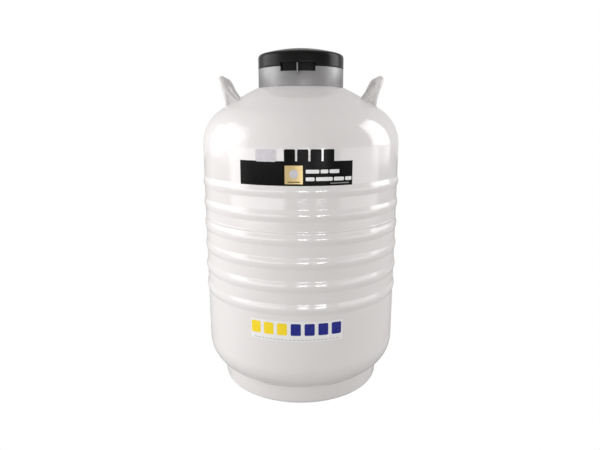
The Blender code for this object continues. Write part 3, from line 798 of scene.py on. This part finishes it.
def lid():
    outer = [(radius, dome_height(radius)) for radius in np.linspace(0.0, LID_CROWN, 24)]
    start = Vector(outer[-1])
    corner = Vector((COLLAR, LID_EDGE_CORNER_Z))
    end = Vector((COLLAR, LID_SIDE_TOP - 0.001))
    for step in range(1, 11):
        t = step / 10
        outer.append(tuple(start * (1 - t) ** 2 + corner * 2 * t * (1 - t) + end * t ** 2))
    inner = offset_inward(outer, WALL)
    inner[0] = (0.0, LID_TOP_Z - WALL)

    def section(angle):
        bottom = LID_LOW_Z + (WINDOW_Z[1] - LID_LOW_Z) * window_share(angle)
        fall = bottom + 0.0006 - LID_SIDE_TOP
        lip = [(COLLAR, LID_SIDE_TOP + fall * i / 6) for i in range(1, 7)]
        edge = [(COLLAR - 0.0002, bottom + 0.0002), (COLLAR - 0.0006, bottom),
                (COLLAR - WALL + 0.0006, bottom), (COLLAR - WALL + 0.0002, bottom + 0.0002)]
        back = [(COLLAR - WALL, bottom + 0.0006)]
        return outer + lip + edge + back + inner[::-1]
    return new_piece("lid_cap", lathe(section, window_columns()), BLACK, "lid",
                     ["lid_cover"])


def liner():
    inner = LINER - 0.0025
    outline = [
        (0.0, 0.7600, 0.0), (0.0450, 0.7570, 0.004), (0.0830, 0.7480, 0.004),
        (LINER, 0.7400, 0.003), (LINER, LINER_LOW_Z, 0.0008), (inner, LINER_LOW_Z, 0.0008),
        (inner, 0.7385, 0.003), (0.0815, 0.7455, 0.004), (0.0450, 0.7545, 0.004),
        (0.0, 0.7575, 0.0),
    ]
    return new_piece("lid_inner_moulding", lathe(rounded_section(outline, 0.001, 5), MEDIUM * 2),
                     BLACK, "lid", ["lid_liner"])


LOCK_BACK = -(COLLAR + TOUCH_GAP)
EYE_REACH = 0.0036
EYE_Z = 0.7225
EYE_RADIUS = 0.0016


def lock_plate(name, node, material, body, sides, back, reach):
    """An upright plate with rounded corners and a padlock eye, turned like the real lock."""
    low_z, high_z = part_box(node)[0].z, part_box(node)[1].z
    front = back - reach
    form = bmesh.new()
    outline = rounded_section([(front, low_z), (back, low_z, 0.0008), (back, high_z, 0.0008),
                               (front, high_z)], 0.0026, 6)
    hole = disc(LOCK_BACK - EYE_REACH, EYE_Z, EYE_RADIUS, 24)
    edges = []
    for ring in (outline, hole):
        verts = [form.verts.new((sides[0], y, z)) for y, z in ring]
        for here, there in zip(verts, verts[1:] + verts[:1]):
            edges.append(form.edges.new((here, there)))
    face = bmesh.ops.triangle_fill(form, use_beauty=True, use_dissolve=False, edges=edges)
    faces = [item for item in face["geom"] if isinstance(item, bmesh.types.BMFace)]
    grown = bmesh.ops.extrude_face_region(form, geom=faces)
    moved = [item for item in grown["geom"] if isinstance(item, bmesh.types.BMVert)]
    bmesh.ops.translate(form, vec=(sides[1] - sides[0], 0.0, 0.0), verts=moved)
    bmesh.ops.transform(form, matrix=Matrix.Rotation(LOCK_TURN, 4, "Z"), verts=form.verts)
    return new_piece(name, form, material, body, [node])


def lock():
    lock_plate("padlock_staple", "lock_lug", SILVER, "vessel", (-0.0036, -0.0010),
               LOCK_BACK, 0.0070)
    lock_plate("padlock_ear", "lid_ear", BLACK, "lid", (0.0, 0.0030),
               -(LINER + TOUCH_GAP), 0.0112)


# ---- neck, plug and index plate --------------------------------------------------------
def simple_turned(name, node, outline, material, body="vessel", radius=0.0006):
    section = rounded_section(outline, radius, 4)
    return new_piece(name, lathe(section, MEDIUM), material, body, [node])


def neck_pieces():
    low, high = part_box("neck_tube")
    bore = high.x - 0.002
    simple_turned("neck_bore_tube", "neck_tube",
                  [(high.x, high.z), (high.x, low.z), (bore, low.z), (bore, high.z)],
                  LAMINATE)
    low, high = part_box("neck_flange_upper")
    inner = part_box("neck_tube")[1].x + TOUCH_GAP
    simple_turned("neck_flange_ring", "neck_flange_upper",
                  [(high.x, high.z), (high.x, low.z), (inner, low.z), (inner, high.z)],
                  ALUMINIUM)


def canister_azimuth(number):
    return math.radians(30.0 + 60.0 * number)


def index_plate():
    plate_top = PLATE_LOW_Z + PLATE_THICKNESS
    rim_middle = (RIM_INNER + RIM_OUTER) / 2.0

    def section(angle):
        share = 0.0
        for number in range(CANISTERS):
            away = abs(math.remainder(angle - canister_azimuth(number), 2.0 * math.pi)) * rim_middle
            share = max(share, smoothstep((SLOT_HALF - away) / 0.0004 + 0.5))
        top = RIM_TOP_Z + (plate_top + 0.0001 - RIM_TOP_Z) * share
        return rounded_section([
            (RIM_OUTER, top), (RIM_OUTER, plate_top, 0.0), (PLATE_RADIUS, plate_top),
            (PLATE_RADIUS, PLATE_LOW_Z), (PLATE_HOLE, PLATE_LOW_Z), (PLATE_HOLE, plate_top),
            (RIM_INNER, plate_top, 0.0), (RIM_INNER, top)], 0.0005, 3)
    angles = [2.0 * math.pi * index / ROUND for index in range(ROUND)]
    for number in range(CANISTERS):
        for side in (-1.0, 1.0):
            middle = canister_azimuth(number) + side * SLOT_HALF / rim_middle
            angles += [(middle + step * 0.0016) % (2.0 * math.pi) for step in range(-4, 5)]
    return new_piece("canister_index_plate", lathe(section, sorted(set(angles))), ALUMINIUM,
                     "vessel", ["index_plate"])


def plug():
    low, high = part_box("neck_plug")
    simple_turned("foam_plug", "neck_plug",
                  [(0.0, high.z, 0.0), (high.x, high.z), (high.x, low.z, 0.003), (0.0, low.z, 0.0)],
                  FOAM, "lid", 0.0008)
    low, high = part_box("plug_plate")
    simple_turned("plug_holding_plate", "plug_plate",
                  [(0.0, high.z, 0.0), (high.x, high.z), (high.x, low.z), (0.0, low.z, 0.0)],
                  ALUMINIUM, "lid", 0.0008)


# ---- printed films ---------------------------------------------------------------------
FILM = 0.00010           # thickness of a film
BASE_LIFT = 0.00012      # clearance of the first film over the coat
INK_STEP = 0.00012       # from one printed layer to the next
SLICE = 0.0025           # widest flat strip of a film


def patch(name, outline, lift, material, turn, replaces=()):
    """A thin film on the barrel: outline in (arc length from the film's middle, height)."""
    form = bmesh.new()
    verts = [form.verts.new((x, 0.0, z)) for x, z in outline]
    form.faces.new(verts)
    low = min(x for x, z in outline)
    high = max(x for x, z in outline)
    slices = int((high - low) / SLICE)
    for index in range(1, slices + 1):
        cut = low + (high - low) * index / (slices + 1)
        bmesh.ops.bisect_plane(form, geom=form.verts[:] + form.edges[:] + form.faces[:],
                               plane_co=(cut, 0, 0), plane_no=(1, 0, 0), dist=0.0000001)
    for middle in RIB_HEIGHTS:
        for crease in (middle - RIB_HALF, middle + RIB_HALF):
            bmesh.ops.bisect_plane(form, geom=form.verts[:] + form.edges[:] + form.faces[:],
                                   plane_co=(0, 0, crease), plane_no=(0, 0, 1), dist=0.0000001)
    bmesh.ops.triangulate(form, faces=[face for face in form.faces if len(face.verts) > 4])
    grown = bmesh.ops.extrude_face_region(form, geom=form.faces[:])
    top = {item for item in grown["geom"] if isinstance(item, bmesh.types.BMVert)}
    for vert in form.verts:
        azimuth = vert.co.x / BARREL + turn
        height = vert.co.z
        radius = barrel_radius(height) + lift + (FILM if vert in top else 0.0)
        vert.co = (radius * math.sin(azimuth), -radius * math.cos(azimuth), height)
    return new_piece(name, form, material, "vessel", replaces, 50.0)


def rectangle(left, right, low, high, radius=0.0006):
    return rounded_section([(left, high), (right, high), (right, low), (left, low)], radius, 4)


def disc(x, z, radius, steps=48):
    return [(x + radius * math.cos(2 * math.pi * i / steps),
             z + radius * math.sin(2 * math.pi * i / steps)) for i in range(steps)]


def label_band():
    """Black band with a gold tile, plain bars in place of its wording."""
    half = BAND_HALF * BARREL
    base, first, second = BASE_LIFT, BASE_LIFT + INK_STEP, BASE_LIFT + INK_STEP * 2.0
    patch("label_band_film", rectangle(-half, half, BAND_Z[0], BAND_Z[1], 0.0004), base,
          BLACK_FILM, BAND_TURN, ["label_band"])
    patch("label_tile", rectangle(-0.0203, 0.0144, 0.4913, 0.5267, 0.0010), first,
          GOLD, BAND_TURN)
    patch("label_tile_mark", disc(-0.003, 0.5105, 0.0085, 40), second,
          SILVER_INK, BAND_TURN)
    patch("label_tile_foot", rectangle(-0.0150, 0.0090, 0.4945, 0.4962, 0.0006), second,
          BLACK_FILM, BAND_TURN)
    bars_start, bar_height, bar_gap = 0.0200, 0.0072, 0.0026
    rows = (("upper", 0.5118, (0.0260, 0.0150, 0.0200)),
            ("lower", 0.4973, (0.0170, 0.0330, 0.0210, 0.0140)))
    for row, low, widths in rows:
        left = bars_start
        for index, width in enumerate(widths):
            bar = rectangle(left, left + width, low, low + bar_height, 0.0020)
            patch("label_bar_%s_%d" % (row, index + 1), bar, first,
                  WHITE_INK, BAND_TURN)
            left += width + bar_gap
    patch("label_bar_small", rectangle(0.0680, 0.1075, 0.4915, 0.4936, 0.0009), first,
          GREY_INK, BAND_TURN)


def label_blocks():
    """Plain blocks that stand across the band's top edge."""
    lift = BASE_LIFT + INK_STEP
    patch("label_block_silver", rectangle(-0.0790, -0.0365, 0.5335, 0.5570, 0.004), lift,
          SILVER_INK, BAND_TURN)
    start, pitch, width = -0.0215, 0.0252, 0.0212
    for index in range(4):
        left = start + pitch * index
        block = rectangle(left, left + width, 0.5320, 0.5575, 0.003)
        patch("label_block_black_%d" % (index + 1), block, lift,
              BLACK_FILM, BAND_TURN)


def label_strip():
    """White strip with a row of plain coloured blocks and a row of grey dashes."""
    half = STRIP_HALF * BARREL
    lift = BASE_LIFT + INK_STEP
    patch("label_strip_film", rectangle(-half, half, STRIP_Z[0], STRIP_Z[1], 0.0006), BASE_LIFT,
          WHITE_FILM, STRIP_TURN, ["label_strip"])
    blocks_start, block_pitch, block_width, yellow_blocks = -0.0970, 0.0285, 0.0210, 3
    for index in range(7):
        left = blocks_start + block_pitch * index
        block = rectangle(left, left + block_width, 0.1785, 0.2045, 0.0030)
        patch("strip_block_%d" % (index + 1), block, lift,
              YELLOW_INK if index < yellow_blocks else BLUE_INK, STRIP_TURN)
    dashes_start, dash_pitch, dash = -0.0900, 0.0083, 0.0058
    for index in range(22):
        left = dashes_start + dash_pitch * index
        patch("strip_dash_%d" % (index + 1), rectangle(left, left + dash, 0.1683, 0.1692, 0.0003),
              lift, GREY_INK, STRIP_TURN)


# ---- canisters -------------------------------------------------------------------------
def canister_knobs():
    """Rounded knobs with a shallow waist, in place of the plain CAD cylinders."""
    for number in range(CANISTERS):
        node = "canister_%d_knob" % (number + 1)
        low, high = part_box(node)
        middle = (low + high) / 2.0
        angle = canister_azimuth(number)
        out = Vector((math.cos(angle), math.sin(angle), 0.0))
        profile = [(0.0, 0.006), (0.0024, 0.0058), (0.0036, 0.0048), (0.0040, 0.0030),
                   (0.0036, 0.0005), (0.0034, -0.0015), (0.0038, -0.0040), (0.0036, -0.0052),
                   (0.0026, -0.0060), (0.0, -0.0060)]
        form = lathe(profile, 40)
        turn = out.to_track_quat("Z", "Y").to_matrix().to_4x4()
        bmesh.ops.transform(form, matrix=Matrix.Translation(middle) @ turn, verts=form.verts)
        new_piece("canister_grip_%d" % (number + 1), form, BLUE, "canister_%d" % (number + 1),
                  [node])


# ---- stage, lights and camera ----------------------------------------------------------
WORLD_STRENGTH = 0.69
WORLD_COLOR = (1.0, 0.985, 0.975, 1.0)
LIGHT_RING = 2.0         # distance of every light from the vessel's axis
LIGHTS = (
    # name, azimuth in degrees, height, width, tall, radiance, seen in reflections only
    ("panel_left_low", -50.0, 0.22, 2.6, 0.60, 3.0, False),
    ("panel_left_high", -90.0, 1.05, 2.3, 1.3, 2.5, False),
    ("panel_right_low", 68.0, 0.28, 1.95, 0.55, 1.9, False),
    ("panel_right_high", 100.0, 1.2, 1.2, 1.7, 2.0, False),
    ("soft_box_left", -88.0, 1.45, 1.5, 1.4, 2.6, True),
    ("soft_box_right", 98.0, 1.45, 1.1, 1.7, 3.7, True),
    ("strobe_centre", 2.5, 0.37, 0.36, 0.36, 12.0, True),
    ("strobe_right", 21.0, 0.37, 0.40, 0.36, 12.0, True),
)
CAMERA_PLACE = (-0.002, -1.1452, 0.6158)
CAMERA_PITCH = math.radians(12.49)
CAMERA_LENS = 29.09
SENSOR_WIDTH = 36.0
WHITE_LIGHT = (1.0, 1.0, 1.0)


def white_to_camera(tree, lit, color, output):
    """Join a shader so that the camera sees plain white where other rays see it lit."""
    plain = tree.nodes.new("ShaderNodeEmission" if output.bl_idname == "ShaderNodeOutputMaterial"
                           else "ShaderNodeBackground")
    plain.inputs["Color"].default_value = (*color, 1.0)
    path = tree.nodes.new("ShaderNodeLightPath")
    mix = tree.nodes.new("ShaderNodeMixShader")
    tree.links.new(path.outputs["Is Camera Ray"], mix.inputs[0])
    tree.links.new(lit, mix.inputs[1])
    tree.links.new(plain.outputs[0], mix.inputs[2])
    tree.links.new(mix.outputs[0], output.inputs["Surface"])


def make_stage():
    mesh = bpy.data.meshes.new("floor")
    form = bmesh.new()
    bmesh.ops.create_grid(form, x_segments=1, y_segments=1, size=6.0)
    form.to_mesh(mesh)
    form.free()
    floor = bpy.data.objects.new("floor", mesh)
    bpy.context.scene.collection.objects.link(floor)
    kit = Nodes("pale_floor")
    kit.set(Base_Color=(0.50, 0.495, 0.49, 1.0), Roughness=0.9, Specular_IOR_Level=0.0)
    output = kit.tree.nodes["Material Output"]
    white_to_camera(kit.tree, kit.shader.outputs[0], WHITE_LIGHT, output)
    mesh.materials.append(kit.material)


def area_light(name, azimuth, z, width, height, radiance, glossy_only):
    """A soft box upright on a circle round the vessel, facing its axis."""
    data = bpy.data.lights.new(name, "AREA")
    data.shape = "RECTANGLE"
    data.size = width
    data.size_y = height
    data.energy = radiance * math.pi * width * height
    lamp = bpy.data.objects.new(name, data)
    bpy.context.scene.collection.objects.link(lamp)
    turn = math.radians(azimuth)
    lamp.location = (LIGHT_RING * math.sin(turn), -LIGHT_RING * math.cos(turn), z)
    lamp.rotation_euler = (math.pi / 2.0, 0.0, turn)
    lamp.visible_camera = False
    lamp.visible_diffuse = not glossy_only


def make_lights():
    world = bpy.data.worlds.new("studio")
    world.use_nodes = True
    background = world.node_tree.nodes["Background"]
    background.inputs["Color"].default_value = WORLD_COLOR
    background.inputs["Strength"].default_value = WORLD_STRENGTH
    white_to_camera(world.node_tree, background.outputs[0], WHITE_LIGHT,
                    world.node_tree.nodes["World Output"])
    bpy.context.scene.world = world
    for light in LIGHTS:
        area_light(*light)
    bpy.context.scene.view_settings.view_transform = "Standard"


def make_camera():
    """A short lens close to the vessel, square to its handles and looking slightly down."""
    data = bpy.data.cameras.new("camera")
    data.lens = CAMERA_LENS
    data.sensor_width = SENSOR_WIDTH
    camera = bpy.data.objects.new("camera", data)
    bpy.context.scene.collection.objects.link(camera)
    camera.location = CAMERA_PLACE
    camera.rotation_euler = (math.pi / 2.0 - CAMERA_PITCH, 0.0, 0.0)
    bpy.context.scene.camera = camera


# ---- assembly --------------------------------------------------------------------------
make_camera()
dress_cad_nodes()
casing_upper()
casing_lower()
girth_weld()
base_ring()
skirt_tack()
for SIDE, WORD in ((-1.0, "left"), (1.0, "right")):
    handle("handle_tube_" + WORD, "handle_" + WORD, SIDE)
    for END, PLACE in ((-1.0, "front"), (1.0, "back")):
        foot_weld("handle_weld_%s_%s" % (WORD, PLACE), SIDE, END)
collar()
lid()
liner()
lock()
neck_pieces()
index_plate()
plug()
label_band()
label_blocks()
label_strip()
canister_knobs()
make_stage()
make_lights()
